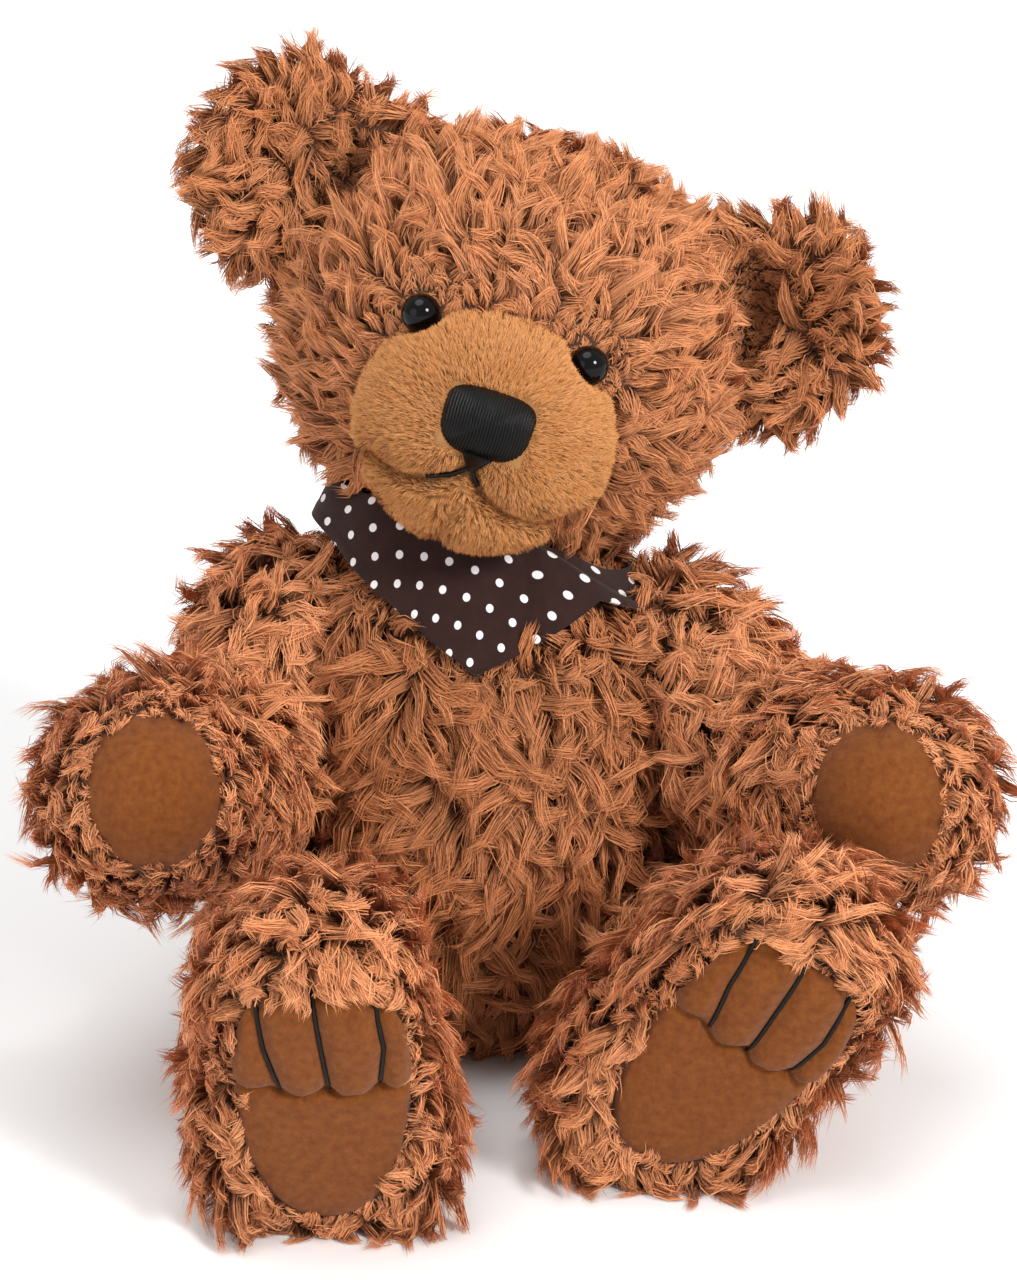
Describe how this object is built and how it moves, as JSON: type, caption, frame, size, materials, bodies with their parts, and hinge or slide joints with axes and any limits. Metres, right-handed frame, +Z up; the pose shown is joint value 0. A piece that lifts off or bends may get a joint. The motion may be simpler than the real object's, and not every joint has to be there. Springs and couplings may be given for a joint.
{
  "type": "jointed teddy bear",
  "caption": "Sitting brown plush teddy bear with disc-jointed neck, shoulders and hips, suede paw pads, stitched face and a spotted neckerchief.",
  "frame": {"origin": "on the floor, under the middle of the sitting bear's bounding box", "axes": "+Z up, -Y the way the bear faces, +X towards the bear's own left side"},
  "size_m": [0.246, 0.2305, 0.2617],
  "materials": {
    "plush": "long curly mohair-style pile, cinnamon brown",
    "short_plush": "short dense golden-tan pile",
    "suede": "matt brushed suede",
    "stuffing": "loose white fibre",
    "spotted_cotton": "dark brown printed cotton with off-white spots",
    "black_thread": "satin-stitched glossy embroidery thread",
    "hardboard": "smooth pressed hardboard",
    "zinc_steel": "bright zinc plate",
    "eye_plastic": "high-gloss black",
    "washer_plastic": "matt natural nylon"
  },
  "bodies": {
    "torso": {"torso_cover": "plush", "torso_stuffing": "stuffing", "neckerchief": "spotted_cotton", "torso_neck_disc": "hardboard", "torso_shoulder_disc_right": "hardboard", "torso_shoulder_disc_left": "hardboard", "torso_hip_disc_right": "hardboard", "torso_hip_disc_left": "hardboard", "torso_washers": "zinc_steel"},
    "head": {"head_cover": "plush", "head_stuffing": "stuffing", "muzzle_cover": "short_plush", "ear_right": "plush", "ear_left": "plush", "nose": "black_thread", "mouth_stitching": "black_thread", "eye_right": "eye_plastic", "eye_left": "eye_plastic", "eye_washers": "washer_plastic", "head_neck_disc": "hardboard", "neck_bolt": "zinc_steel", "neck_washer": "zinc_steel", "neck_lock_nut": "zinc_steel"},
    "arm_right": {"arm_cover_right": "plush", "paw_pad_right": "suede", "arm_stuffing_right": "stuffing", "arm_disc_right": "hardboard", "arm_bolt_right": "zinc_steel", "arm_washer_right": "zinc_steel", "arm_lock_nut_right": "zinc_steel"},
    "leg_right": {"leg_cover_right": "plush", "sole_pad_right": "suede", "leg_stuffing_right": "stuffing", "claw_stitching_right": "black_thread", "leg_disc_right": "hardboard", "leg_bolt_right": "zinc_steel", "leg_washer_right": "zinc_steel", "leg_lock_nut_right": "zinc_steel"},
    "arm_left": {"arm_cover_left": "plush", "paw_pad_left": "suede", "arm_stuffing_left": "stuffing", "arm_disc_left": "hardboard", "arm_bolt_left": "zinc_steel", "arm_washer_left": "zinc_steel", "arm_lock_nut_left": "zinc_steel"},
    "leg_left": {"leg_cover_left": "plush", "sole_pad_left": "suede", "leg_stuffing_left": "stuffing", "claw_stitching_left": "black_thread", "leg_disc_left": "hardboard", "leg_bolt_left": "zinc_steel", "leg_washer_left": "zinc_steel", "leg_lock_nut_left": "zinc_steel"}
  },
  "joints": [
    {"name": "neck_turn", "type": "hinge", "parent": "torso", "child": "head", "pos_m": [-0.01698, 0.05129, 0.14966], "axis": [0.2974, 0.2471, 0.9222], "continuous": true},
    {"name": "shoulder_right", "type": "hinge", "parent": "torso", "child": "arm_right", "pos_m": [-0.05077, 0.04816, 0.1124], "axis": [-0.9796, -0.02, 0.1999], "range_deg": [-120, 85]},
    {"name": "shoulder_left", "type": "hinge", "parent": "torso", "child": "arm_left", "pos_m": [0.0281, 0.0479, 0.10537], "axis": [-0.9922, 0, -0.125], "range_deg": [-120, 85]},
    {"name": "hip_right", "type": "hinge", "parent": "torso", "child": "leg_right", "pos_m": [-0.04643, 0.04311, 0.03197], "axis": [-0.9669, -0.1702, -0.1902], "range_deg": [-110, 10]},
    {"name": "hip_left", "type": "hinge", "parent": "torso", "child": "leg_left", "pos_m": [0.03049, 0.04198, 0.03286], "axis": [-0.9623, 0.16, 0.2201], "range_deg": [-110, 5]}
  ]
}
